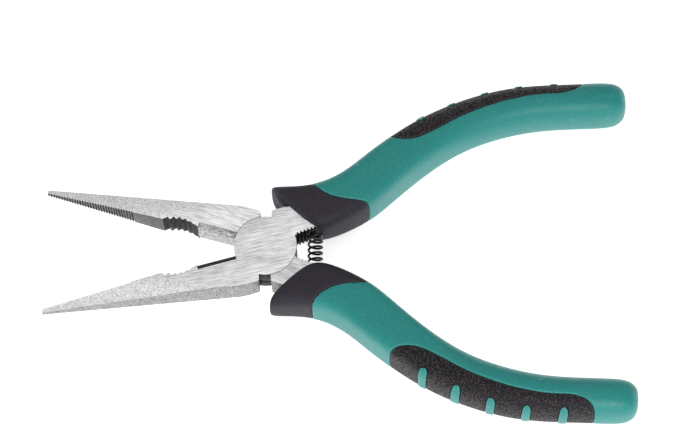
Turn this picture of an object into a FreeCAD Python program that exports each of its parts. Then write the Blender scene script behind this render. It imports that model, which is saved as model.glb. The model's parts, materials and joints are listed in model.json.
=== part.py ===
"""Needle nose pliers with a lap joint, a return spring and two-colour comfort grips.

Frame: millimetres, +Z up, origin on the pivot axis at the underside of the joint. The jaws
point along -X and the handles along +X. The tool stands as its spring holds it, half open.

Both steel halves and both grips are the same piece used twice: the second one is the first
turned over about the X axis. Each is drawn in a closed frame, where the jaws meet on y = 0,
with its jaw on the +Y side and its handle on the -Y side, and z = 0 at mid-thickness.
"""
import FreeCAD
import Part
import Sketcher
import math
import os

from FreeCAD import Placement, Rotation, Vector

X_AXIS = Vector(1, 0, 0)
Y_AXIS = Vector(0, 1, 0)
Z_AXIS = Vector(0, 0, 1)

doc = FreeCAD.newDocument("NeedleNosePliers")

# ---------------------------------------------------------------- driving dimensions
DIMENSIONS = [
    ("headThickness", 8.5, "both laps together"),
    ("lapRadius", 8.45, "each round lap at the joint"),
    ("lapRunning", 0.12, "gap round each lap"),
    ("lapGap", 0.04, "gap between the two laps"),
    ("openHalfAngle", 15.6, "each half from the closed line, as the spring holds it"),
    ("closingGap", 0.03, "each jaw's inner face from the closed line"),
    ("jawReach", 62.5, "pivot to tip"),
    ("tipWidth", 1.15, "one tip"),
    ("noseStart", 30.0, "where the facets of the nose leave the jaw's inner edge"),
    ("facetTurn", 35.9, "a facet's upper edge from the X axis"),
    ("facetSlope", 0.1765, "fall of a facet for each millimetre across its upper edge"),
    ("rivetRadius", 2.6, "shank of the rivet"),
    ("rivetHeadRadius", 3.7, "flush conical head"),
    ("rivetHeadDepth", 1.1, "depth of the conical head"),
    ("rivetRunning", 0.04, "radial clearance in the half that turns on the rivet"),
    ("fineToothPitch", 0.75, "cross teeth of the nose"),
    ("fineToothDepth", 0.36, "cross teeth of the nose"),
    ("fineToothCount", 33, "cross teeth on each jaw"),
    ("gripToothPitch", 1.6, "coarse teeth of the pipe grip"),
    ("gripToothDepth", 0.45, "coarse teeth of the pipe grip"),
    ("gripRecess", 1.35, "middle of the pipe grip below the inner face"),
    ("crimpPitch", 1.0, "teeth behind the joint"),
    ("crimpDepth", 0.6, "teeth behind the joint"),
    ("crimpCount", 7, "teeth behind the joint on each tang"),
    ("cutterStart", 19.2, "front end of the side cutter from the pivot"),
    ("cutterRise", 1.75, "how far the cutter's bevel goes into the jaw"),
    ("springReach", 13.4, "pivot to the spring's axis"),
    ("springRadius", 1.85, "coil, at the middle of the wire"),
    ("springWire", 0.62, "diameter of the wire"),
    ("springPitch", 1.7, "from one turn to the next"),
    ("springTurns", 8.75, "turns of the coil"),
    ("socketRadius", 2.35, "blind hole that holds each end of the spring"),
    ("socketDepth", 3.0, "blind hole that holds each end of the spring"),
    ("wellRadius", 2.6, "room round the spring kept free of soft plastic"),
    ("gripHalfHeight", 8.0, "half thickness of the grip"),
    ("padDepth", 1.5, "thickness of the soft finger pad"),
    ("ribProud", 0.45, "how far the ribs stand out of the finger pad"),
    ("ribWidth", 2.4, "each rib of the finger pad"),
]

sheet = doc.addObject("Spreadsheet::Sheet", "Dimensions")
for row, (alias, value, note) in enumerate(DIMENSIONS, start=1):
    sheet.set(f"A{row}", alias)
    sheet.set(f"B{row}", str(value))
    sheet.set(f"C{row}", note)
    sheet.setAlias(f"B{row}", alias)
doc.recompute()


def dim(alias):
    """The value of one cell of the sheet."""
    return float(sheet.get(alias))


HALF_THICK = dim("headThickness") / 2
LAP = dim("lapRadius")
FACE = dim("closingGap")

# Where the closed frame's two uses stand in the tool's own frame.
LIFT = Vector(0, 0, HALF_THICK)
OPENING = dim("openHalfAngle")
PLACES = {
    "lower_lap": Placement(LIFT, Rotation(Z_AXIS, -OPENING)),
    "upper_lap": Placement(LIFT, Rotation(Z_AXIS, OPENING).multiply(Rotation(X_AXIS, 180))),
}


# ---------------------------------------------------------------- helpers for sketches
def origin_feature(body, role):
    """One of the body's own origin planes or axes."""
    return next(f for f in body.Origin.OriginFeatures if f.Role == role)


def new_sketch(body, name, role, offset=Placement()):
    """An empty sketch on one of the body's origin planes, moved by an offset."""
    sketch = body.newObject("Sketcher::SketchObject", name)
    sketch.AttachmentSupport = [(origin_feature(body, role), "")]
    sketch.MapMode = "FlatFace"
    sketch.AttachmentOffset = offset
    return sketch


def flat(point):
    """A point of a sketch."""
    return Vector(point[0], point[1], 0)


def add_line(sketch, start, end):
    sketch.addGeometry(Part.LineSegment(flat(start), flat(end)))


def add_arc(sketch, start, middle, end):
    sketch.addGeometry(Part.Arc(flat(start), flat(middle), flat(end)))


def add_curve(sketch, points):
    """A smooth curve through the points."""
    curve = Part.BSplineCurve()
    curve.interpolate([flat(point) for point in points])
    sketch.addGeometry(curve)


def add_polygon(sketch, points):
    """A closed outline of straight lines."""
    for start, end in zip(points, points[1:] + points[:1]):
        add_line(sketch, start, end)


def add_circle(sketch, radius_of):
    """A circle about the sketch's origin, its radius bound to cells of the sheet."""
    index = sketch.addGeometry(Part.Circle(Vector(), Z_AXIS, 1.0))
    sketch.addConstraint(Sketcher.Constraint("Coincident", index, 3, -1, 1))
    radius = sketch.addConstraint(Sketcher.Constraint("Radius", index, 1.0))
    sketch.setExpression(f"Constraints[{radius}]", radius_of)


def on_lap(angle):
    """A point of the lap's rim, at an angle in degrees."""
    turn = math.radians(angle)
    return (LAP * math.cos(turn), LAP * math.sin(turn))


def lap_at(x, side):
    """The point of the lap's rim at x, on the +Y side (1) or the -Y side (-1)."""
    return (x, side * math.sqrt(LAP * LAP - x * x))


def cut_through(body, name, sketch, both_ways=False, reverse=False):
    """A pocket through the whole body."""
    pocket = body.newObject("PartDesign::Pocket", name)
    pocket.Profile = sketch
    pocket.Type = "ThroughAll"
    pocket.Midplane = both_ways
    pocket.Reversed = reverse
    return pocket


def row_of(body, name, feature, sketch, count_of, pitch_of):
    """A feature repeated along its sketch's own X axis."""
    doc.recompute()
    pattern = body.newObject("PartDesign::LinearPattern", name)
    pattern.Originals = [feature]
    pattern.Direction = (sketch, ["H_Axis"])
    pattern.setExpression("Occurrences", count_of)
    pattern.setExpression("Length", f"({count_of} - 1) * {pitch_of}")
    body.Tip = pattern
    return pattern


def flipped(body, name, feature):
    """A feature mirrored in the body's mid-plane."""
    doc.recompute()
    mirror = body.newObject("PartDesign::Mirrored", name)
    mirror.Originals = [feature]
    mirror.MirrorPlane = (origin_feature(body, "XY_Plane"), [""])
    body.Tip = mirror
    return mirror


# ---------------------------------------------------------------- the steel halves
CRIMP_START = (8.9, -0.85)
CRIMP_TURN = -5.0


def draw_steel_outline(sketch):
    """Jaw, round lap and tang, seen from above with the jaws closed."""
    reach = dim("jawReach")
    tip_inner = (-reach + 0.2, FACE)
    tip_outer = (-reach, dim("tipWidth"))
    nose_root = (-20.5, 7.4)
    shoulder_start = (-12.2, 8.9)
    shoulder_end = (-4.2, 9.25)
    front_notch = lap_at(-3.8, 1)
    crimp_front = (math.sqrt(LAP * LAP - 0.8 * 0.8), -0.8)
    crimp_rear = (16.3, -1.5)
    tang_inner = [crimp_rear, (24, -3.8), (36, -9.4), (52, -15.8), (66, -18.6), (80, -18.6),
                  (92, -16.7)]
    tang_end = (93.6, -18.8)
    tang_outer = [(92, -20.7), (80, -23.4), (66, -23.8), (52, -21.6), (36, -15.6), (24, -10.9),
                  (9.9, -9.1)]
    rear_corner = (4.4, -9.4)
    rear_notch = lap_at(3.7, -1)
    add_line(sketch, tip_inner, tip_outer)
    add_line(sketch, tip_outer, nose_root)
    add_line(sketch, nose_root, shoulder_start)
    add_arc(sketch, shoulder_start, (-8.0, 9.45), shoulder_end)
    add_line(sketch, shoulder_end, front_notch)
    add_arc(sketch, front_notch, on_lap(45), crimp_front)
    add_line(sketch, crimp_front, crimp_rear)
    add_curve(sketch, tang_inner)
    add_arc(sketch, tang_inner[-1], tang_end, tang_outer[0])
    add_curve(sketch, tang_outer)
    add_line(sketch, tang_outer[-1], (7.7, -9.5))
    add_line(sketch, (7.7, -9.5), rear_corner)
    add_line(sketch, rear_corner, rear_notch)
    throat = (-math.sqrt(LAP * LAP - FACE * FACE), FACE)
    add_arc(sketch, rear_notch, on_lap(225), throat)
    add_line(sketch, throat, tip_inner)


def pipe_grip_outline():
    """The hollow of the pipe grip: an arc across the inner face, toothed by a saw line."""
    front, rear = -29.1, -19.2
    pitch = dim("gripToothPitch")
    points = [(front, -1.0), (front, FACE)]
    x = front + pitch * 0.75
    while x < rear - 0.3:
        along = (x - front) / (rear - front)
        arc = dim("gripRecess") * 4 * along * (1 - along)
        points.append((x, arc + dim("gripToothDepth")))
        points.append((x + pitch / 2, max(arc - 0.1, FACE)))
        x += pitch
    return points + [(rear, FACE), (rear, -1.0)]


def make_steel_half(name, bore_clearance):
    """One forged half: jaw, lap and tang. bore_clearance is a cell name or 0."""
    body = doc.addObject("PartDesign::Body", name)
    body.Label = name

    outline = new_sketch(body, f"{name}_outline", "XY_Plane")
    draw_steel_outline(outline)
    blank = body.newObject("PartDesign::Pad", f"{name}_blank")
    blank.Profile = outline
    blank.Midplane = True
    blank.setExpression("Length", "Dimensions.headThickness")

    # The other half's lap lies in this round recess, above this half's own lap.
    recess_level = Placement(Vector(0, 0, -dim("lapGap") / 2), Rotation())
    recess = new_sketch(body, f"{name}_recess_outline", "XY_Plane", recess_level)
    add_circle(recess, "Dimensions.lapRadius + Dimensions.lapRunning")
    cut_through(body, f"{name}_recess", recess, reverse=True)

    # Each facet falls towards the tip from a slanting line across the jaw.
    facet_place = Placement(Vector(-dim("noseStart"), 0, 0), Rotation(Y_AXIS, dim("facetTurn") - 90))
    facet = new_sketch(body, f"{name}_facet_outline", "XZ_Plane", facet_place)
    reach = 24.0
    fall = reach * dim("facetSlope")
    over = HALF_THICK + 1.0
    rise = 1.0 / dim("facetSlope")
    points = [(-reach, HALF_THICK - fall), (rise, over), (-reach, over)]
    add_polygon(facet, points)
    facet_cut = cut_through(body, f"{name}_facet", facet, both_ways=True)
    flipped(body, f"{name}_facet_below", facet_cut)

    # Cross teeth along the nose.
    tooth_place = Placement(Vector(-dim("jawReach") + 0.6, FACE, 0), Rotation())
    tooth = new_sketch(body, f"{name}_tooth_outline", "XY_Plane", tooth_place)
    half_gap = dim("fineToothPitch") * 0.4
    add_polygon(tooth, [(-half_gap, 0), (-half_gap, -0.5), (half_gap, -0.5), (half_gap, 0),
                        (0, dim("fineToothDepth"))])
    tooth_cut = cut_through(body, f"{name}_tooth", tooth, both_ways=True)
    row_of(body, f"{name}_teeth", tooth_cut, tooth,
           "Dimensions.fineToothCount", "Dimensions.fineToothPitch")

    pipe_grip = new_sketch(body, f"{name}_pipe_grip_outline", "XY_Plane")
    add_polygon(pipe_grip, pipe_grip_outline())
    cut_through(body, f"{name}_pipe_grip", pipe_grip, both_ways=True)

    # Side cutter: a bevel above and below leaves an edge at mid-thickness.
    cutter_place = Placement(Vector(0, 0, -dim("cutterStart")), Rotation())
    cutter = new_sketch(body, f"{name}_cutter_outline", "YZ_Plane", cutter_place)
    land = 0.1
    add_polygon(cutter, [(-0.5, land), (FACE, land), (0.35, 3.2), (dim("cutterRise"), HALF_THICK),
                         (dim("cutterRise"), over), (-0.5, over)])
    cutter_cut = body.newObject("PartDesign::Pocket", f"{name}_cutter")
    cutter_cut.Profile = cutter
    cutter_cut.Reversed = True
    cutter_cut.setExpression("Length", "Dimensions.cutterStart - Dimensions.lapRadius - 0.05")
    flipped(body, f"{name}_cutter_below", cutter_cut)

    # Teeth behind the joint, on the tang's inner face.
    crimp_place = Placement(flat(CRIMP_START), Rotation(Z_AXIS, CRIMP_TURN))
    crimp = new_sketch(body, f"{name}_crimp_outline", "XY_Plane", crimp_place)
    half_gap = dim("crimpPitch") * 0.42
    add_polygon(crimp, [(0, 0.5), (2 * half_gap, 0.5), (2 * half_gap, 0),
                        (half_gap, -dim("crimpDepth")), (0, 0)])
    crimp_cut = cut_through(body, f"{name}_crimp", crimp, both_ways=True)
    row_of(body, f"{name}_crimps", crimp_cut, crimp,
           "Dimensions.crimpCount", "Dimensions.crimpPitch")

    # Blind hole for the spring's end, square to the spring as it stands.
    socket_foot = Rotation(Z_AXIS, OPENING).multVec(Vector(dim("springReach"), -4.0, 0))
    socket_place = Placement(Vector(socket_foot.x, 0, -socket_foot.y), Rotation(Y_AXIS, OPENING))
    socket = new_sketch(body, f"{name}_socket_outline", "XZ_Plane", socket_place)
    add_circle(socket, "Dimensions.socketRadius")
    socket_cut = body.newObject("PartDesign::Pocket", f"{name}_socket")
    socket_cut.Profile = socket
    socket_cut.Reversed = True
    socket_cut.setExpression("Length", "Dimensions.socketDepth + 0.9")

    # Rivet hole with a conical seat in this half's outer face.
    bore = new_sketch(body, f"{name}_bore_outline", "XZ_Plane")
    radius = dim("rivetRadius") + bore_clearance
    seat = dim("rivetHeadRadius") + bore_clearance
    seat_top = -HALF_THICK + dim("rivetHeadDepth")
    add_polygon(bore, [(0, 1), (radius, 1), (radius, seat_top), (seat, -HALF_THICK),
                       (seat, -over), (0, -over)])
    bore_cut = body.newObject("PartDesign::Groove", f"{name}_bore")
    bore_cut.Profile = bore
    bore_cut.ReferenceAxis = (bore, ["V_Axis"])
    bore_cut.Angle = 360
    body.Tip = bore_cut
    body.Placement = PLACES[name]
    return body


STEEL = {
    "lower_lap": make_steel_half("lower_lap", dim("rivetRunning")),
    "upper_lap": make_steel_half("upper_lap", 0.0),
}


# ---------------------------------------------------------------- rivet and spring
def make_rivet():
    """A straight shank with a flush conical head in each outer face, turned in one piece."""
    body = doc.addObject("PartDesign::Body", "pivot_rivet")
    body.Label = "pivot_rivet"
    half = new_sketch(body, "rivet_outline", "XZ_Plane")
    shank, head = dim("rivetRadius"), dim("rivetHeadRadius")
    neck = HALF_THICK - dim("rivetHeadDepth")
    add_polygon(half, [(0, -HALF_THICK), (head, -HALF_THICK), (shank, -neck), (shank, neck),
                       (head, HALF_THICK), (0, HALF_THICK)])
    turned = body.newObject("PartDesign::Revolution", "rivet_turned")
    turned.Profile = half
    turned.ReferenceAxis = (half, ["V_Axis"])
    turned.Angle = 360
    body.Placement = Placement(LIFT, Rotation())
    return body


def make_spring():
    """A coil of round wire along the Y axis, its ends inside the tangs' blind holes."""
    body = doc.addObject("PartDesign::Body", "return_spring")
    body.Label = "return_spring"
    length = dim("springPitch") * dim("springTurns")
    wire = new_sketch(body, "spring_wire", "XY_Plane")
    radius = dim("springWire") / 2
    index = wire.addGeometry(Part.Circle(Vector(dim("springRadius"), 0, 0), Z_AXIS, radius))
    bound = wire.addConstraint(Sketcher.Constraint("Radius", index, radius))
    wire.setExpression(f"Constraints[{bound}]", "Dimensions.springWire / 2")
    coil = body.newObject("PartDesign::AdditiveHelix", "spring_coil")
    coil.Profile = wire
    coil.ReferenceAxis = (wire, ["V_Axis"])
    coil.Mode = 0
    coil.setExpression("Pitch", "Dimensions.springPitch")
    coil.setExpression("Height", "Dimensions.springPitch * Dimensions.springTurns")
    body.Tip = coil
    body.Placement = Placement(Vector(dim("springReach"), -length / 2, HALF_THICK), Rotation())
    return body


def make_spring_well():
    """The room round the spring's ends, kept free of the guards' soft plastic."""
    well = doc.addObject("Part::Cylinder", "spring_well")
    well.setExpression("Radius", "Dimensions.wellRadius")
    well.setExpression("Height", "Dimensions.springPitch * (Dimensions.springTurns + 1)")
    doc.recompute()
    start = Vector(dim("springReach"), -well.Height.Value / 2, HALF_THICK)
    well.Placement = Placement(start, Rotation(X_AXIS, -90))
    return well


rivet = make_rivet()
spring = make_spring()
spring_well = make_spring_well()


# ---------------------------------------------------------------- the grips
# Sections of the grip from the guard's slanting front to the rounded end: place along the
# handle, distance out from the closed line, heading in degrees, half width, share of the full
# half height, and squareness, where 2 is an ellipse.
GRIP_SECTIONS = [
    (11.0, 8.3, 31.0, 9.3, 0.80, 3.6),
    (18.0, 7.5, 14.0, 7.35, 0.97, 2.8),
    (28.0, 9.1, 21.7, 7.0, 1.00, 2.4),
    (36.0, 12.8, 25.2, 6.75, 1.00, 2.3),
    (44.0, 16.3, 22.1, 6.5, 1.00, 2.3),
    (52.0, 19.15, 16.8, 6.2, 1.00, 2.3),
    (60.0, 21.0, 8.9, 6.0, 1.00, 2.3),
    (68.0, 21.75, 2.5, 5.9, 1.00, 2.3),
    (76.0, 21.7, -4.0, 5.8, 1.00, 2.3),
    (84.0, 20.6, -11.4, 5.65, 1.00, 2.3),
    (92.0, 18.7, -13.8, 5.5, 1.00, 2.3),
    (100.0, 16.75, -13.4, 5.5, 1.00, 2.4),
    (103.6, 15.9, -13.4, 5.1, 0.92, 2.5),
    (105.9, 15.35, -13.4, 3.9, 0.70, 2.5),
    (107.0, 15.1, -13.4, 2.2, 0.35, 2.3),
]
# The guard's rear edge and the finger pad's edge, as they run over the top of the grip.
GUARD_EDGE = [(30.0, -3.0), (30.6, 1.5), (29.6, 3.6), (27.0, 4.9), (24.0, 6.1), (20.5, 8.2),
              (18.2, 10.8), (17.0, 13.6), (16.8, 18.0)]
PAD_EDGE = [(41.4, 27.0), (41.6, 21.8), (44.0, 19.0), (48.0, 18.2), (54.0, 19.3), (62.0, 21.2),
            (72.0, 22.2), (82.0, 21.8), (90.0, 20.2), (94.5, 20.6), (97.3, 22.8), (97.8, 27.0)]
RIB_TOPS = [(50.4, 22.6), (60.0, 24.8), (69.7, 25.6), (79.3, 25.1), (88.9, 23.1)]


def across(point):
    """A point of the handle's plan in the closed frame, where handles lie on the -Y side."""
    return (point[0], -point[1])


def add_rounded_outline(sketch, half_width, half_height, squareness):
    """A closed superellipse about the sketch's origin."""
    points = []
    for step in range(16):
        turn = math.radians(22.5 * step)
        share = 2 / squareness
        x = math.copysign(abs(math.cos(turn)) ** share, math.cos(turn))
        y = math.copysign(abs(math.sin(turn)) ** share, math.sin(turn))
        points.append(flat((half_width * x, half_height * y)))
    curve = Part.BSplineCurve()
    curve.interpolate(Points=points, PeriodicFlag=True)
    sketch.addGeometry(curve)


def make_grip_form(name, place, inset):
    """The grip's outer form, or one that lies the inset inside it."""
    body = doc.addObject("PartDesign::Body", name)
    sections = []
    for number, (x, y, heading, half_width, height, squareness) in enumerate(GRIP_SECTIONS):
        turn = Placement(Vector(-y, 0, x), Rotation(Y_AXIS, -heading))
        section = new_sketch(body, f"{name}_section_{number}", "YZ_Plane", turn)
        half_height = height * dim("gripHalfHeight")
        add_rounded_outline(section, half_width - inset, half_height - inset, squareness)
        sections.append(section)
    loft = body.newObject("PartDesign::AdditiveLoft", f"{name}_loft")
    loft.Profile = sections[0]
    loft.Sections = sections[1:]
    body.Tip = loft
    body.Placement = place
    return body


def make_plan_block(name, place, draw):
    """A block through the whole thickness, standing on an outline of the handle's plan."""
    body = doc.addObject("PartDesign::Body", name)
    outline = new_sketch(body, f"{name}_outline", "XY_Plane")
    draw(outline)
    block = body.newObject("PartDesign::Pad", f"{name}_block")
    block.Profile = outline
    block.Midplane = True
    block.setExpression("Length", "Dimensions.gripHalfHeight * 4")
    body.Placement = place
    return body


def draw_guard_plan(sketch):
    """Everything in front of the guard's curved rear edge."""
    edge = [across(point) for point in GUARD_EDGE]
    front_outer, front_inner = across((0, 18)), across((0, -2))
    add_curve(sketch, edge)
    add_line(sketch, edge[-1], front_outer)
    add_line(sketch, front_outer, front_inner)
    add_line(sketch, front_inner, edge[0])


def draw_pad_plan(sketch):
    """The long finger pad: its curved edge on the grip's back, open past the outer side."""
    edge = [across(point) for point in PAD_EDGE]
    first, last = across((PAD_EDGE[0][0], 32)), across((PAD_EDGE[-1][0], 32))
    add_curve(sketch, edge)
    add_line(sketch, edge[-1], last)
    add_line(sketch, last, first)
    add_line(sketch, first, edge[0])


def draw_rib_plan(sketch):
    """Five ribs with round inner ends."""
    half = dim("ribWidth") / 2
    for x, y in RIB_TOPS:
        corners = [across((x - half, 32)), across((x - half, y + half)),
                   across((x + half, y + half)), across((x + half, 32))]
        add_line(sketch, corners[0], corners[1])
        add_arc(sketch, corners[1], across((x, y)), corners[2])
        add_line(sketch, corners[2], corners[3])
        add_line(sketch, corners[3], corners[0])


def boolean(kind, name, base, tool):
    """A Cut, Common or Fuse of two objects of the document."""
    result = doc.addObject(f"Part::{kind}", name)
    result.Label = name
    result.Base = base
    result.Tool = tool
    return result


def make_grip(side, place, steel):
    """The three mouldings of one grip: hard sleeve, soft guard and soft finger pad."""
    form = make_grip_form(f"{side}_form", place, 0.0)
    core = make_grip_form(f"{side}_core", place, dim("padDepth"))
    rib_form = make_grip_form(f"{side}_rib_form", place, -dim("ribProud"))
    guard_plan = make_plan_block(f"{side}_guard_plan", place, draw_guard_plan)
    pad_plan = make_plan_block(f"{side}_pad_plan", place, draw_pad_plan)
    rib_plan = make_plan_block(f"{side}_rib_plan", place, draw_rib_plan)

    guard_full = boolean("Common", f"{side}_guard_full", form, guard_plan)
    guard_open = boolean("Cut", f"{side}_guard_open", guard_full, spring_well)
    guard = boolean("Cut", f"{side}_guard", guard_open, steel)
    pad_full = boolean("Common", f"{side}_pad_full", form, pad_plan)
    pad_shell = boolean("Cut", f"{side}_pad_shell", pad_full, core)
    pad = boolean("Cut", f"{side}_pad", pad_shell, rib_plan)
    ribs = boolean("Common", f"{side}_ribs", rib_form, rib_plan)
    sleeve_full = boolean("Cut", f"{side}_sleeve_full", form, guard_plan)
    sleeve_core = boolean("Cut", f"{side}_sleeve_core", sleeve_full, pad_shell)
    sleeve_ribbed = boolean("Fuse", f"{side}_sleeve_ribbed", sleeve_core, ribs)
    sleeve = boolean("Cut", f"{side}_sleeve", sleeve_ribbed, steel)
    return [sleeve, guard, pad]


grips = []
for side, half in (("front", "lower_lap"), ("rear", "upper_lap")):
    grips += make_grip(side, PLACES[half], STEEL[half])

doc.recompute()

# ---------------------------------------------------------------- checks and files
subparts = [STEEL["lower_lap"], STEEL["upper_lap"], rivet, spring] + grips
for obj in doc.Objects:
    if "Invalid" in obj.State or "Error" in obj.State:
        raise RuntimeError(f"{obj.Name} failed: {obj.State}")
os.makedirs("parts", exist_ok=True)
for obj in subparts:
    shape = obj.Shape
    if shape.isNull() or not shape.isValid() or shape.Volume <= 0:
        raise RuntimeError(f"{obj.Label} has no valid solid")
    shape.exportStep(f"parts/{obj.Label}.step")
    print(f"{obj.Label}: {len(shape.Solids)} solid, {shape.Volume / 1000:.2f} cm3")
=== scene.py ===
import json
import math

import bpy
from mathutils import Matrix, Vector

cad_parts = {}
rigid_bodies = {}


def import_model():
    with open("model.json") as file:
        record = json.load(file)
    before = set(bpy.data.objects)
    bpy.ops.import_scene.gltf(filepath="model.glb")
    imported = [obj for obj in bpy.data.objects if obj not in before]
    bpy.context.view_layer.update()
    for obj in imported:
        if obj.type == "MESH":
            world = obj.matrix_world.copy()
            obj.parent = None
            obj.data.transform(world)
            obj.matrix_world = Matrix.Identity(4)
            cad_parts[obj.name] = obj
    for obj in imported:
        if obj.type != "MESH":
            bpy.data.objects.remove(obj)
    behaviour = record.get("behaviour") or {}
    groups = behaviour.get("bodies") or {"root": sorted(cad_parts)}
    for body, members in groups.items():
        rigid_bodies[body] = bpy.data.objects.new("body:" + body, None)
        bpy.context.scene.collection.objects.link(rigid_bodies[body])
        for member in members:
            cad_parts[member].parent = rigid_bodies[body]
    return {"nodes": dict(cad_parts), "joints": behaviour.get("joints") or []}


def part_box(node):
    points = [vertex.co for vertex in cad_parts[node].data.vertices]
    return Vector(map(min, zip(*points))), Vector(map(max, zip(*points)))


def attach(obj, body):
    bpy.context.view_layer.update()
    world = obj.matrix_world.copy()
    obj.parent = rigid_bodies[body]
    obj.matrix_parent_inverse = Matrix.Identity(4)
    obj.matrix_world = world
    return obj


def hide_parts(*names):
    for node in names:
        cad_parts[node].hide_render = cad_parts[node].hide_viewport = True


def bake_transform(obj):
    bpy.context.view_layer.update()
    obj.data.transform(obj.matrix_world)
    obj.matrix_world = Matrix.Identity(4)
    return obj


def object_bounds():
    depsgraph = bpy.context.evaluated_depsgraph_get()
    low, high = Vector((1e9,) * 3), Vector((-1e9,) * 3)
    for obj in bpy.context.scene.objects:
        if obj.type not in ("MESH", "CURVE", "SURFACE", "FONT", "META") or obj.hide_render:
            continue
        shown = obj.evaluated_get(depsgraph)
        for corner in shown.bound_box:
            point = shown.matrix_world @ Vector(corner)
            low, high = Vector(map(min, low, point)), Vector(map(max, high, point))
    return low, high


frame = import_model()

for spare in ("Cube", "Light", "Camera"):
    if spare in bpy.data.objects:
        bpy.data.objects.remove(bpy.data.objects[spare])
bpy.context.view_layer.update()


# ==================================================================== the two steel halves
# Each half is one drop-forged bar of tool steel: a toothed jaw, a round lap and a tang for the
# grip. The flats and the nose are ground bright, the side walls are left blasted, and the teeth
# and inner faces keep the dark skin of hardening. The two laps cross at the joint.
MM = 0.001
PIVOT = next(joint for joint in frame["joints"] if joint["name"] == "pivot")
PIVOT_CENTRE = Vector(PIVOT["pos_m"])
OPENING = math.radians(-PIVOT["range_deg"][0] / 2)
# Both halves are drawn closed, with the jaw on the +Y side of y = 0 and the handle on the other.
CLOSED_TO_ROW = {
    "lower_lap_half": Matrix.Translation(PIVOT_CENTRE) @ Matrix.Rotation(-OPENING, 4, "Z"),
    "upper_lap_half": (Matrix.Translation(PIVOT_CENTRE) @ Matrix.Rotation(OPENING, 4, "Z")
                       @ Matrix.Rotation(math.pi, 4, "X")),
}
JOINT_RADIUS = 8.45 * MM
EDGE_BREAK = 0.11 * MM
WELD_GAP = 0.002 * MM


def deselect_all():
    bpy.ops.object.select_all(action="DESELECT")


def work_on(piece):
    """Makes a piece the only selected one and the active one."""
    deselect_all()
    piece.select_set(True)
    bpy.context.view_layer.objects.active = piece


def apply_modifier(piece, kind, **settings):
    """Adds a modifier with its settings and applies it."""
    modifier = piece.modifiers.new(kind.title(), kind)
    for name, value in settings.items():
        setattr(modifier, name, value)
    work_on(piece)
    bpy.ops.object.modifier_apply(modifier=modifier.name)


def new_finish(name, colour, roughness, metallic=0.0):
    """A material with its Principled shader, ready for nodes."""
    finish = bpy.data.materials.new(name)
    finish.use_nodes = True
    shader = finish.node_tree.nodes["Principled BSDF"]
    shader.inputs["Base Color"].default_value = (*colour, 1.0)
    shader.inputs["Roughness"].default_value = roughness
    shader.inputs["Metallic"].default_value = metallic
    return finish, finish.node_tree, shader


def add_node(tree, kind, settings=None, **inputs):
    """One node: its settings by name, and its sockets by name, linked or set."""
    node = tree.nodes.new(kind)
    for name, value in (settings or {}).items():
        setattr(node, name, value)
    for name, value in inputs.items():
        socket = node.inputs[name.replace("_", " ")]
        if isinstance(value, bpy.types.NodeSocket):
            tree.links.new(value, socket)
        else:
            socket.default_value = value
    return node


def shades(tree, value, *stops):
    """A colour ramp over a value: stops are (place, colour)."""
    ramp = add_node(tree, "ShaderNodeValToRGB", Fac=value)
    elements = ramp.color_ramp.elements
    while len(elements) < len(stops):
        elements.new(0.5)
    for element, (place, colour) in zip(elements, stops):
        element.position = place
        element.color = (*colour, 1.0)
    return ramp.outputs["Color"]


def span(tree, value, low, high, to_low=0.0, to_high=1.0):
    """A value stretched from one range to another, and held inside it."""
    return add_node(tree, "ShaderNodeMapRange", Value=value, From_Min=low, From_Max=high,
                    To_Min=to_low, To_Max=to_high).outputs["Result"]


def mixed(tree, factor, first, second, blend="MIX"):
    """Two colours mixed by a factor."""
    mix = add_node(tree, "ShaderNodeMix", {"data_type": "RGBA", "blend_type": blend})
    for socket, value in zip((mix.inputs[0], mix.inputs[6], mix.inputs[7]), (factor, first, second)):
        if isinstance(value, bpy.types.NodeSocket):
            tree.links.new(value, socket)
        else:
            socket.default_value = value if isinstance(value, float) else (*value, 1.0)
    return mix.outputs[2]


def new_effect(name, inputs, outputs):
    """A node group for an effect: returns the group, its input node and its output node."""
    group = bpy.data.node_groups.new(name, "ShaderNodeTree")
    for label, value in inputs:
        socket = group.interface.new_socket(label, in_out="INPUT", socket_type="NodeSocketFloat")
        socket.default_value = value
    for label in outputs:
        group.interface.new_socket(label, in_out="OUTPUT", socket_type="NodeSocketFloat")
    return group, group.nodes.new("NodeGroupInput"), group.nodes.new("NodeGroupOutput")


def use_effect(tree, group, **inputs):
    """An effect placed in a material with its own values."""
    return add_node(tree, "ShaderNodeGroup", {"node_tree": group}, **inputs).outputs


def bump(tree, shader, height, distance, strength=1.0):
    """Relief on a material's shader from a height."""
    relief = add_node(tree, "ShaderNodeBump", Height=height, Distance=distance, Strength=strength)
    tree.links.new(relief.outputs["Normal"], shader.inputs["Normal"])


# Grinding: short scratches side by side, all along one direction in the plane of the flats.
grinding, given, made = new_effect(
    "grinding_lines", [("Across", 2400.0), ("Along", 200.0), ("Turn", 0.0)], ["Lines", "Patches"])
where = add_node(grinding, "ShaderNodeTexCoord").outputs["Object"]
turn = add_node(grinding, "ShaderNodeCombineXYZ", Z=given.outputs["Turn"]).outputs[0]
turned = add_node(grinding, "ShaderNodeVectorRotate", {"rotation_type": "EULER_XYZ"},
                  Vector=where, Rotation=turn).outputs[0]
stretch = add_node(grinding, "ShaderNodeCombineXYZ", X=given.outputs["Along"],
                   Y=given.outputs["Across"], Z=given.outputs["Across"]).outputs[0]
scaled = add_node(grinding, "ShaderNodeVectorMath", {"operation": "MULTIPLY"}).outputs[0]
grinding.links.new(turned, scaled.node.inputs[0])
grinding.links.new(stretch, scaled.node.inputs[1])
scratches = add_node(grinding, "ShaderNodeTexNoise", Vector=scaled, Scale=1.0, Detail=3.0,
                     Roughness=0.65).outputs["Fac"]
patches = add_node(grinding, "ShaderNodeTexNoise", Vector=where, Scale=420.0, Detail=2.0,
                   Roughness=0.6).outputs["Fac"]
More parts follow.
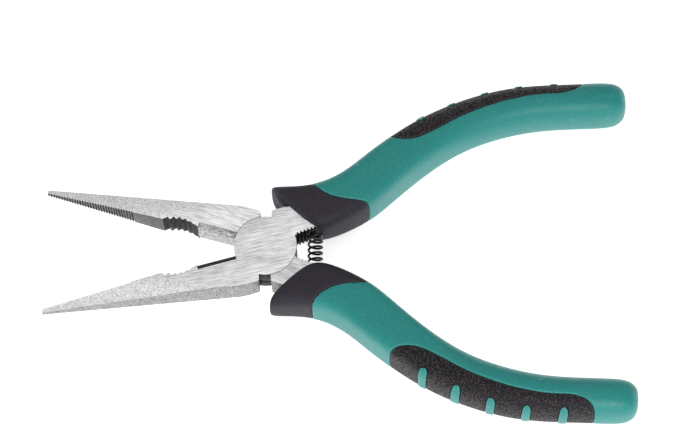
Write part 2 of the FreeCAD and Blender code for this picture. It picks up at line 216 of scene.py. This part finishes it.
grinding.links.new(span(grinding, scratches, 0.3, 0.7), made.inputs["Lines"])
grinding.links.new(span(grinding, patches, 0.3, 0.7), made.inputs["Patches"])


PATCH_SHARE = 0.15


def steel_finish(name, dark, light, roughness, turn, across=2400.0, along=200.0, relief=0.02):
    """Bare steel whose scratches run between a dark and a light grey."""
    finish, tree, shader = new_finish(name, light, roughness, metallic=1.0)
    marks = use_effect(tree, grinding, Across=across, Along=along, Turn=turn)
    lines = add_node(tree, "ShaderNodeMath", {"operation": "MULTIPLY_ADD"}).outputs[0]
    tree.links.new(marks["Patches"], lines.node.inputs[0])
    lines.node.inputs[1].default_value = PATCH_SHARE
    tree.links.new(marks["Lines"], lines.node.inputs[2])
    tree.links.new(shades(tree, lines, (0.2, dark), (0.75, light)), shader.inputs["Base Color"])
    tree.links.new(span(tree, marks["Lines"], 0.0, 1.0, roughness + 0.1, roughness - 0.05),
                   shader.inputs["Roughness"])
    bump(tree, shader, marks["Lines"], relief * MM)
    return finish


# Each half is ground along its own length, so the scratches of the two cross at the joint.
ground_flats = {
    node: steel_finish(f"ground_flat_{node}", (0.47, 0.47, 0.48), (0.98, 0.98, 0.98), 0.40, turn,
                       across=5400.0, along=170.0)
    for node, turn in (("lower_lap", 0.32), ("upper_lap", -0.22))
}
ground_nose = steel_finish("ground_nose_steel", (0.48, 0.48, 0.49), (0.99, 0.99, 0.99), 0.38, 0.75,
                           across=5200.0, along=1500.0)
blasted_side = steel_finish("blasted_side_steel", (0.12, 0.12, 0.12), (0.44, 0.44, 0.435), 0.55, 0.0,
                            across=2500.0, along=2200.0, relief=0.03)
bevel_ground = steel_finish("ground_bevel_steel", (0.30, 0.30, 0.30), (0.66, 0.66, 0.66), 0.45, 0.0,
                            across=1600.0, along=1200.0, relief=0.03)
dark_inner = steel_finish("hardened_inner_steel", (0.10, 0.10, 0.105), (0.19, 0.19, 0.195), 0.5, 0.0,
                          across=1800.0, along=900.0)
dark_tooth = steel_finish("hardened_tooth_steel", (0.008, 0.008, 0.009), (0.035, 0.035, 0.037), 0.5, 0.0)
dark_bevel = steel_finish("hardened_bevel_steel", (0.03, 0.03, 0.032), (0.08, 0.08, 0.082), 0.5, 0.0)
# Bright steel painted on the tooth flanks that face the tip, as a painted highlight.
tooth_flank_highlight = steel_finish("tooth_flank_painted_highlight_steel", (0.66, 0.66, 0.66), (0.97, 0.97, 0.97), 0.35, 0.0)
STEEL_FINISHES = [*ground_flats.values(), ground_nose, blasted_side, bevel_ground, dark_inner,
                  dark_bevel, dark_tooth, tooth_flank_highlight]
# Where one finish gives way to the next: places along the jaw, distances across it, and how
# upright a face's normal is on the flats, the nose's facets, the outer edges and the bevels.
NOSE_START, PIPE_GRIP, TEETH_END = -19.0 * MM, (-29.3 * MM, -19.1 * MM), -37.3 * MM
INNER_FACE, OUTER_WALL, TOOTH_DEPTH = 2.6 * MM, 3.0 * MM, 0.6 * MM
CRIMP_REACH, NOTCH_HALF = 3.2 * MM, 4.6 * MM
FLAT, FACET, OUTER_EDGE, BEVEL = 0.995, 0.93, 0.35, 0.3


def steel_zone(node, centre, normal):
    """The finish of a face of a steel half, by its place and direction in the closed frame."""
    upright = abs(normal.z)
    x, y = centre.x, centre.y
    if upright > FLAT or (upright > FACET and x > NOSE_START):
        return ground_flats[node]
    if upright > FACET:
        return ground_nose
    if upright > OUTER_EDGE and y > OUTER_WALL and x < -JOINT_RADIUS:
        return dark_inner
    if PIPE_GRIP[0] < x < PIPE_GRIP[1] and y < OUTER_WALL:
        return dark_tooth
    # Painted light on the teeth near the tip: flanks facing the tip get bright steel as a painted
    # highlight, flanks facing the joint the dark tooth steel.
    if x < TEETH_END and y < TOOTH_DEPTH and abs(normal.x) > 0.2:
        return tooth_flank_highlight if normal.x < 0 else dark_tooth
    if y < INNER_FACE and PIPE_GRIP[1] <= x < -JOINT_RADIUS * 0.9:
        if node == "lower_lap":
            return blasted_side if upright > BEVEL else bevel_ground
        return dark_bevel
    if x < -JOINT_RADIUS and y < INNER_FACE and normal.y < -0.4:
        return dark_inner
    if x > JOINT_RADIUS and y > -CRIMP_REACH:
        return dark_tooth
    if math.hypot(x, y) < JOINT_RADIUS * 1.05 or abs(x) < NOTCH_HALF:
        return dark_tooth
    return blasted_side


def finish_steel_half(node, body):
    """A copy of the forged half with its edges broken and each face in its own finish."""
    piece = frame["nodes"][node].copy()
    piece.data = piece.data.copy()
    piece.name = piece.data.name = f"{node}_steel"
    bpy.context.scene.collection.objects.link(piece)
    piece.parent = None
    piece.matrix_world = Matrix.Identity(4)
    work_on(piece)
    bpy.ops.object.mode_set(mode="EDIT")
    bpy.ops.mesh.select_all(action="SELECT")
    bpy.ops.mesh.remove_doubles(threshold=WELD_GAP)
    bpy.ops.mesh.dissolve_limited(angle_limit=math.radians(0.6))
    bpy.ops.object.mode_set(mode="OBJECT")
    apply_modifier(piece, "BEVEL", width=EDGE_BREAK, segments=2, limit_method="ANGLE",
                   angle_limit=math.radians(35), loop_slide=False, use_clamp_overlap=True)
    piece.data.materials.clear()
    for finish in STEEL_FINISHES:
        piece.data.materials.append(finish)
    to_closed = CLOSED_TO_ROW[body].inverted()
    turn = to_closed.to_3x3()
    for face in piece.data.polygons:
        zone = steel_zone(node, to_closed @ face.center, turn @ face.normal)
        face.material_index = STEEL_FINISHES.index(zone)
    work_on(piece)
    bpy.ops.object.shade_smooth_by_angle(angle=math.radians(28))
    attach(piece, body)
    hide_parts(node)
    return piece


finish_steel_half("lower_lap", "lower_lap_half")
finish_steel_half("upper_lap", "upper_lap_half")


# ==================================================================== the rivet
# A straight pin of soft steel, pressed flush into conical seats in both outer faces and ground
# off with them, so that only a hairline shows where it ends.
for slot in frame["nodes"]["pivot_rivet"].material_slots:
    slot.material = ground_flats["upper_lap"]


# ==================================================================== the return spring
# A compression spring of round wire, blackened and oiled. Its ends stand in blind holes in the
# two tangs, and it pushes the handles apart.
SPRING_LOW, SPRING_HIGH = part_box("return_spring")
SPRING_AXIS = (SPRING_LOW + SPRING_HIGH) / 2
WIRE = 0.31 * MM
COIL = (SPRING_HIGH.x - SPRING_LOW.x) / 2 - WIRE
SPRING_TURNS = 8.75
STEPS_PER_TURN = 32
SPRING_END = (SPRING_HIGH.y - SPRING_LOW.y) / 2 - WIRE

deselect_all()
bpy.ops.mesh.primitive_circle_add(vertices=12, radius=WIRE, location=(COIL, 0, 0))
spring = bpy.context.object
spring.name = "return_spring_wire"
bpy.ops.object.transform_apply(location=True, rotation=True, scale=True)
spring.data.transform(Matrix.Rotation(math.pi / 2, 4, "X"))
apply_modifier(spring, "SCREW", axis="Z", angle=2 * math.pi * SPRING_TURNS,
               screw_offset=2 * SPRING_END, steps=int(STEPS_PER_TURN * SPRING_TURNS),
               render_steps=int(STEPS_PER_TURN * SPRING_TURNS), use_merge_vertices=False)
spring.data.transform(Matrix.Translation((0, 0, -SPRING_END)))
spring.data.transform(Matrix.Rotation(-math.pi / 2, 4, "X"))
spring.data.transform(Matrix.Translation(SPRING_AXIS))
work_on(spring)
bpy.ops.object.mode_set(mode="EDIT")
bpy.ops.mesh.select_all(action="DESELECT")
bpy.ops.mesh.select_non_manifold()
bpy.ops.mesh.edge_face_add()
bpy.ops.mesh.select_all(action="SELECT")
bpy.ops.mesh.normals_make_consistent(inside=False)
bpy.ops.object.mode_set(mode="OBJECT")
bpy.ops.object.shade_smooth_by_angle(angle=math.radians(50))

spring_black, tree, shader = new_finish("oiled_black_spring", (0.012, 0.012, 0.013), 0.28, 0.6)
where = add_node(tree, "ShaderNodeTexCoord").outputs["Object"]
skin = add_node(tree, "ShaderNodeTexNoise", Vector=where, Scale=1500.0, Detail=3.0).outputs["Fac"]
tree.links.new(span(tree, skin, 0.35, 0.65, 0.2, 0.42), shader.inputs["Roughness"])
tree.links.new(shades(tree, skin, (0.3, (0.006, 0.006, 0.007)), (0.75, (0.03, 0.03, 0.032))),
               shader.inputs["Base Color"])
bump(tree, shader, skin, 0.01 * MM)
spring.data.materials.append(spring_black)
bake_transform(spring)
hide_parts("return_spring")


# ==================================================================== the grips
# Each grip is moulded over its tang in two shots: a hard green sleeve, and soft black plastic
# for the thumb guard at the front and for the grained finger pad along the back. The sleeve
# shows through the pad as five raised ribs. Both grips come from the same mould.
RING = 24
# Smoothing draws a ring in, so each one starts a little larger.
RING_GROWTH = 1.011
# Stations along the handle: place along it, distance out from the closed line, heading in
# degrees, half width, half height and squareness, where 2 is an ellipse. Lengths are in mm.
STATIONS = [
    (10.2, 8.6, 31.0, 9.3, 6.4, 3.2),
    (11.3, 8.4, 29.0, 9.4, 7.1, 3.4),
    (18.0, 6.75, 14.0, 6.65, 7.7, 4.0),
    (28.0, 8.5, 21.7, 6.5, 8.0, 4.2),
    (36.0, 12.7, 25.2, 6.35, 8.0, 4.4),
    (44.0, 16.3, 22.1, 6.1, 8.0, 4.2),
    (52.0, 19.25, 16.8, 6.1, 8.0, 3.2),
    (60.0, 21.1, 8.9, 6.1, 8.0, 2.5),
    (68.0, 21.85, 2.5, 6.05, 8.0, 2.4),
    (76.0, 21.75, -4.0, 5.9, 8.0, 2.4),
    (84.0, 20.6, -11.4, 5.65, 8.0, 2.3),
    (92.0, 18.7, -13.8, 5.5, 8.0, 2.3),
    (100.0, 16.75, -13.4, 5.5, 8.0, 2.4),
    (103.6, 15.9, -13.4, 5.25, 7.6, 2.5),
    (105.9, 15.35, -13.4, 4.2, 6.1, 2.5),
    (107.0, 15.1, -13.4, 2.4, 3.3, 2.3),
]
# The guard's rear edge, the pad's edge and the ribs' tops, in mm, as they lie seen from above.
GUARD_EDGE = [(30.0, -3.0), (30.6, 1.5), (29.6, 3.6), (27.0, 4.9), (24.0, 6.1), (20.5, 8.2),
              (18.2, 10.8), (17.0, 13.6), (16.8, 18.0)]
PAD_EDGE = [(40.0, 27.0), (40.4, 21.6), (43.4, 19.0), (48.0, 18.2), (54.0, 19.3), (62.0, 21.2),
            (72.0, 22.2), (82.0, 21.8), (90.0, 20.2), (94.2, 20.6), (96.8, 22.8), (97.2, 27.0)]
RIB_TOPS = [(50.4, 23.1), (60.0, 25.3), (69.7, 26.1), (79.3, 25.6), (88.9, 23.6)]
RIB_HALF = 1.2
RIB_PROUD = 0.25
PAD_DEPTH = 1.2
OUTSIDE = 32.0
BLOCK_HALF_HEIGHT = 14 * MM
SKIN = 0.3 * MM
# The guard's front bulges forward on the side away from its own half's lap, and inside its rim
# the middle of the face stands forward too.
FRONT_BULGE = 1.6 * MM
RIM_WIDTH, CROWN_SLOPE = 1.6 * MM, 1.8 * MM
CROWN_SHIFT = (-0.9 * MM, 0.5 * MM, 0)


def ring_point(station, turn, grow):
    """A point of a station's rounded ring, in the closed frame where handles lie on -Y."""
    along, out, heading, half_width, half_height, squareness = station
    share = 2 / squareness
    across = math.copysign(abs(math.cos(turn)) ** share, math.cos(turn))
    up = math.copysign(abs(math.sin(turn)) ** share, math.sin(turn))
    across *= (half_width * RING_GROWTH + grow) * MM
    up *= (half_height * RING_GROWTH + grow) * MM
    lean = math.radians(heading)
    return Vector((along * MM - across * math.sin(lean), -out * MM - across * math.cos(lean), up))


def grip_form(name, grow=0.0):
    """The grip's whole body: a disc drawn out station by station, then smoothed."""
    deselect_all()
    bpy.ops.mesh.primitive_circle_add(vertices=RING, radius=1.0, fill_type="NGON")
    form = bpy.context.object
    form.name = name
    bpy.ops.object.mode_set(mode="EDIT")
    bpy.ops.mesh.select_all(action="SELECT")
    for _ in STATIONS[1:]:
        bpy.ops.mesh.extrude_region_move(TRANSFORM_OT_translate={"value": (0, 0, 1)})
    bpy.ops.object.mode_set(mode="OBJECT")
    for vertex in form.data.vertices:
        number = round(vertex.co.z)
        turn = math.atan2(vertex.co.y, vertex.co.x)
        vertex.co = ring_point(STATIONS[number], turn, grow)
        if number < 2:
            vertex.co.x -= FRONT_BULGE * max(math.sin(turn), 0.0) ** 2
    work_on(form)
    bpy.ops.object.mode_set(mode="EDIT")
    bpy.ops.mesh.select_mode(type="FACE")
    bpy.ops.mesh.select_all(action="DESELECT")
    bpy.ops.object.mode_set(mode="OBJECT")
    for face in form.data.polygons:
        face.select = len(face.vertices) == RING and face.center.x < STATIONS[2][0] * MM
    bpy.ops.object.mode_set(mode="EDIT")
    bpy.ops.mesh.inset(thickness=RIM_WIDTH)
    bpy.ops.mesh.inset(thickness=CROWN_SLOPE)
    bpy.ops.transform.translate(value=CROWN_SHIFT)
    bpy.ops.mesh.select_all(action="SELECT")
    bpy.ops.mesh.normals_make_consistent(inside=False)
    bpy.ops.object.mode_set(mode="OBJECT")
    apply_modifier(form, "SUBSURF", levels=2, render_levels=2)
    return form


def smooth_line(points, steps=6):
    """A line through the points, rounded between them."""
    line = []
    for place in range(len(points) - 1):
        before = Vector(points[max(place - 1, 0)])
        start, end = Vector(points[place]), Vector(points[place + 1])
        after = Vector(points[min(place + 2, len(points) - 1)])
        for step in range(steps):
            t = step / steps
            line.append(0.5 * (2 * start + (end - before) * t
                               + (2 * before - 5 * start + 4 * end - after) * t * t
                               + (3 * start - before - 3 * end + after) * t ** 3))
    return line + [Vector(points[-1])]


def plan_block(name, outline):
    """A block right through the grip, standing on an outline seen from above."""
    mesh = bpy.data.meshes.new(name)
    mesh.from_pydata([(point[0] * MM, -point[1] * MM, -BLOCK_HALF_HEIGHT) for point in outline], [],
                     [list(range(len(outline)))])
    block = bpy.data.objects.new(name, mesh)
    bpy.context.scene.collection.objects.link(block)
    work_on(block)
    bpy.ops.object.mode_set(mode="EDIT")
    bpy.ops.mesh.select_all(action="SELECT")
    bpy.ops.mesh.extrude_region_move(
        TRANSFORM_OT_translate={"value": (0, 0, 2 * BLOCK_HALF_HEIGHT)})
    bpy.ops.mesh.select_all(action="SELECT")
    bpy.ops.mesh.normals_make_consistent(inside=False)
    bpy.ops.object.mode_set(mode="OBJECT")
    return block


def copy_of(piece, name):
    twin = piece.copy()
    twin.data = piece.data.copy()
    twin.name = twin.data.name = name
    bpy.context.scene.collection.objects.link(twin)
    return twin


def combine(piece, operation, tool):
    apply_modifier(piece, "BOOLEAN", operation=operation, object=tool, solver="EXACT")


form = grip_form("grip_form")
core = grip_form("grip_core", grow=-PAD_DEPTH)
rib_form = grip_form("rib_form", grow=RIB_PROUD)
guard_plan = plan_block("guard_plan", smooth_line(GUARD_EDGE)
                        + [(0.0, GUARD_EDGE[-1][1]), (0.0, GUARD_EDGE[0][1])])
pad_plan = plan_block("pad_plan", smooth_line(PAD_EDGE)
                      + [(PAD_EDGE[-1][0], OUTSIDE), (PAD_EDGE[0][0], OUTSIDE)])
rib_outlines = [
    [(x - RIB_HALF, OUTSIDE), (x + RIB_HALF, OUTSIDE)]
    + [(x + RIB_HALF * math.cos(math.radians(angle)),
        y + RIB_HALF * (1 - math.sin(math.radians(angle)))) for angle in range(0, 181, 20)]
    for x, y in RIB_TOPS
]
rib_plan = plan_block("rib_plan", rib_outlines[0])
for outline in rib_outlines[1:]:
    combine(rib_plan, "UNION", plan_block("rib_plan_next", outline))

guard = copy_of(form, "guard_piece")
combine(guard, "INTERSECT", guard_plan)
combine(pad_plan, "DIFFERENCE", core)
sleeve = copy_of(form, "sleeve_piece")
combine(sleeve, "DIFFERENCE", guard_plan)
combine(sleeve, "DIFFERENCE", pad_plan)
pad = copy_of(form, "pad_piece")
combine(pad, "INTERSECT", pad_plan)
combine(pad, "DIFFERENCE", rib_plan)
combine(rib_form, "INTERSECT", rib_plan)
combine(sleeve, "UNION", rib_form)
for spare in [piece for piece in bpy.context.scene.objects
              if piece.name.startswith(("grip_form", "grip_core", "rib_", "guard_plan", "pad_plan"))]:
    bpy.data.objects.remove(spare)


def mould_skin(piece, voxel, rounds, sunk):
    """An even skin over a moulding, its sharp edges softened and its face sunk a little."""
    apply_modifier(piece, "REMESH", mode="VOXEL", voxel_size=voxel, use_smooth_shade=True)
    apply_modifier(piece, "SMOOTH", factor=0.5, iterations=rounds)
    apply_modifier(piece, "DISPLACE", strength=-sunk, mid_level=0.0)


mould_skin(sleeve, SKIN, 8, sunk=0.01 * MM)
mould_skin(guard, SKIN * 0.9, 6, sunk=0.07 * MM)
mould_skin(pad, SKIN * 0.9, 5, sunk=0.07 * MM)

# Painted light at edges and hollows: a convex edge is painted paler as a highlight, and a hollow or a
# seam is painted darker as shade.
edges, given, made = new_effect("painted_edge_highlight_and_hollow_shade", [("Reach", 0.06)], ["EdgeHighlight", "HollowShade"])
bend = add_node(edges, "ShaderNodeNewGeometry").outputs["Pointiness"]
above = add_node(edges, "ShaderNodeMath", {"operation": "SUBTRACT"}).outputs[0]
edges.links.new(bend, above.node.inputs[0])
above.node.inputs[1].default_value = 0.5
for label, sign in (("EdgeHighlight", 1.0), ("HollowShade", -1.0)):
    signed = add_node(edges, "ShaderNodeMath", {"operation": "MULTIPLY"}).outputs[0]
    edges.links.new(above, signed.node.inputs[0])
    signed.node.inputs[1].default_value = sign
    share = add_node(edges, "ShaderNodeMath", {"operation": "DIVIDE", "use_clamp": True}).outputs[0]
    edges.links.new(signed, share.node.inputs[0])
    edges.links.new(given.outputs["Reach"], share.node.inputs[1])
    edges.links.new(share, made.inputs[label])

# Mould grain: fine pits from the blasted mould, and a mask of a few tiny specks.
grain, given, made = new_effect("mould_grain", [("Size", 2200.0)], ["Grain", "Specks"])
where = add_node(grain, "ShaderNodeTexCoord").outputs["Object"]
pits = add_node(grain, "ShaderNodeTexNoise", Vector=where, Scale=given.outputs["Size"], Detail=2.0,
                Roughness=0.6).outputs["Fac"]
cells = add_node(grain, "ShaderNodeTexVoronoi", Vector=where,
                 Scale=given.outputs["Size"]).outputs["Color"]
chance = add_node(grain, "ShaderNodeSeparateColor", Color=cells).outputs["Red"]
grain.links.new(span(grain, pits, 0.3, 0.7), made.inputs["Grain"])
grain.links.new(span(grain, chance, 0.93, 0.98), made.inputs["Specks"])

green_plastic, tree, shader = new_finish("green_sleeve_plastic", (0.008, 0.225, 0.20), 0.42)
marks = use_effect(tree, grain, Size=3800.0)
edge_light_and_shade = use_effect(tree, edges, Reach=0.05)
grain_and_painted_glints = mixed(tree, span(tree, marks["Grain"], 0.0, 1.0, 0.0, 0.6), (0.003, 0.185, 0.170),
                 (0.014, 0.29, 0.27))
# Painted glints: a few tiny specks are mixed towards pale green as painted sparkle highlights.
grain_and_painted_glints = mixed(tree, span(tree, marks["Specks"], 0.0, 1.0, 0.0, 0.14), grain_and_painted_glints, (0.3, 0.6, 0.56))
shader.inputs["Specular IOR Level"].default_value = 0.4
# Painted highlight: convex edges are mixed towards pale green; painted shade: hollows and seams towards
# near black green.
edge_highlighted = mixed(tree, span(tree, edge_light_and_shade["EdgeHighlight"], 0.4, 1.0, 0.0, 0.35), grain_and_painted_glints, (0.12, 0.46, 0.42))
shaded = mixed(tree, edge_light_and_shade["HollowShade"], edge_highlighted, (0.004, 0.06, 0.05))
tree.links.new(shaded, shader.inputs["Base Color"])
tree.links.new(span(tree, marks["Specks"], 0.0, 1.0, 0.42, 0.25), shader.inputs["Roughness"])
bump(tree, shader, marks["Grain"], 0.03 * MM)

soft_black, tree, shader = new_finish("soft_guard_plastic", (0.04, 0.034, 0.04), 0.5)
marks = use_effect(tree, grain, Size=2600.0)
edge_light_and_shade = use_effect(tree, edges, Reach=0.05)
mottled = mixed(tree, marks["Grain"], (0.020, 0.017, 0.024), (0.040, 0.035, 0.047))
shader.inputs["Specular IOR Level"].default_value = 0.12
# Painted highlight: convex edges are mixed towards pale grey; painted shade: hollows and seams towards
# near black.
edge_highlighted = mixed(tree, span(tree, edge_light_and_shade["EdgeHighlight"], 0.35, 1.0, 0.0, 0.35), mottled, (0.11, 0.10, 0.115))
tree.links.new(mixed(tree, edge_light_and_shade["HollowShade"], edge_highlighted, (0.008, 0.007, 0.008)), shader.inputs["Base Color"])
tree.links.new(span(tree, marks["Specks"], 0.0, 1.0, 0.5, 0.3), shader.inputs["Roughness"])
bump(tree, shader, marks["Grain"], 0.03 * MM)

# The pad's leather-like grain: rounded pebbles a little over half a millimetre across.
PEBBLES_PER_METRE = 1600.0
PEBBLE_HEIGHT = 0.3 * MM
grained_black, tree, shader = new_finish("grained_pad_plastic", (0.05, 0.045, 0.05), 0.45)
where = add_node(tree, "ShaderNodeTexCoord").outputs["Object"]
wander = add_node(tree, "ShaderNodeTexNoise", Vector=where, Scale=900.0, Detail=2.0).outputs["Color"]
bent = add_node(tree, "ShaderNodeMix", {"data_type": "VECTOR"})
bent.inputs[0].default_value = 0.0006
tree.links.new(where, bent.inputs[4])
tree.links.new(wander, bent.inputs[5])
pebbles = add_node(tree, "ShaderNodeTexVoronoi", {"feature": "F1"}, Vector=bent.outputs[1],
                   Scale=PEBBLES_PER_METRE).outputs["Distance"]
height = span(tree, pebbles, 0.2, 0.65, 1.0, 0.0)
edge_light_and_shade = use_effect(tree, edges, Reach=0.05)
# Painted shade: the colour follows the pebbles' height, near black in the gaps between them and the
# pad's dark grey on their tops.
tops = mixed(tree, height, (0.001, 0.001, 0.0015), (0.046, 0.034, 0.044))
# Painted highlight: convex edges are mixed towards pale grey.
tree.links.new(mixed(tree, span(tree, edge_light_and_shade["EdgeHighlight"], 0.3, 1.0, 0.0, 0.3), tops, (0.13, 0.12, 0.13)),
               shader.inputs["Base Color"])
tree.links.new(span(tree, height, 0.0, 1.0, 0.6, 0.34), shader.inputs["Roughness"])
shader.inputs["Specular IOR Level"].default_value = 0.28
bump(tree, shader, height, PEBBLE_HEIGHT)

MOULDINGS = [
    (sleeve, "sleeve", green_plastic, "green_plastic"),
    (guard, "guard", soft_black, "black_soft_plastic"),
    (pad, "pad", grained_black, "black_grained_plastic"),
]
for side, body in (("front", "lower_lap_half"), ("rear", "upper_lap_half")):
    for moulding, part, finish, slot in MOULDINGS:
        piece = copy_of(moulding, f"{side}_{part}_moulding")
        piece.data.transform(CLOSED_TO_ROW[body])
        piece.data.materials.clear()
        piece.data.materials.append(finish)
        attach(piece, body)
        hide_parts(f"{side}_{part}")
for moulding, *_ in MOULDINGS:
    bpy.data.objects.remove(moulding)


# ==================================================================== floor, light and camera
# A plain white table under the grips, a large soft box overhead, a small one in front, and a
# camera with a long lens that looks down from in front.
TABLE_SIZE = 3.0
LAMP_AIM = Vector((0.02, 0, 0))
visual_low, visual_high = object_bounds()
deselect_all()
bpy.ops.mesh.primitive_plane_add(size=TABLE_SIZE, location=(0, 0, visual_low.z))
floor = bpy.context.object
floor.name = "table_top"
floor_white, tree, shader = new_finish("white_table", (0.92, 0.92, 0.92), 0.9)
shader.inputs["Specular IOR Level"].default_value = 0.1
shader.inputs["Emission Color"].default_value = (1.0, 1.0, 1.0, 1.0)
shader.inputs["Emission Strength"].default_value = 0.65
floor.data.materials.append(floor_white)

world = bpy.data.worlds.new("studio")
bpy.context.scene.world = world
world.use_nodes = True
world.node_tree.nodes["Background"].inputs["Color"].default_value = (1.0, 1.0, 1.0, 1.0)
world.node_tree.nodes["Background"].inputs["Strength"].default_value = 0.62


def soft_box(name, place, size, power):
    """A square lamp at a place, facing the middle of the tool."""
    lamp = bpy.data.lights.new(name, "AREA")
    lamp.size = size
    lamp.energy = power
    box = bpy.data.objects.new(name, lamp)
    box.location = place
    box.rotation_euler = (LAMP_AIM - box.location).to_track_quat("-Z", "Y").to_euler()
    bpy.context.scene.collection.objects.link(box)


soft_box("overhead_box", (0.0, 0.0, 0.95), 0.9, 1.1)
soft_box("front_box", (0.1, -0.6, 0.35), 0.2, 2.2)

AZIMUTH, ELEVATION, ROLL = math.radians(-2.66), math.radians(67.21), math.radians(-2.65)
DISTANCE = 0.700
AIM = PIVOT_CENTRE + Vector((19.892, 11.175, 0.0)) * MM
ahead = Vector((math.sin(AZIMUTH) * math.cos(ELEVATION), math.cos(AZIMUTH) * math.cos(ELEVATION),
                -math.sin(ELEVATION)))
level = Vector((math.cos(AZIMUTH), -math.sin(AZIMUTH), 0))
upward = level.cross(ahead)
right = level * math.cos(ROLL) + upward * math.sin(ROLL)
top = upward * math.cos(ROLL) - level * math.sin(ROLL)
camera = bpy.data.objects.new("camera", bpy.data.cameras.new("camera"))
bpy.context.scene.collection.objects.link(camera)
camera.data.sensor_width = 36.0
camera.data.lens = 136.1
camera.data.clip_start = 0.05
turned = Matrix((right, top, -ahead)).transposed().to_4x4()
camera.matrix_world = Matrix.Translation(AIM - ahead * DISTANCE) @ turned
bpy.context.scene.camera = camera
bpy.context.scene.view_settings.view_transform = "Standard"
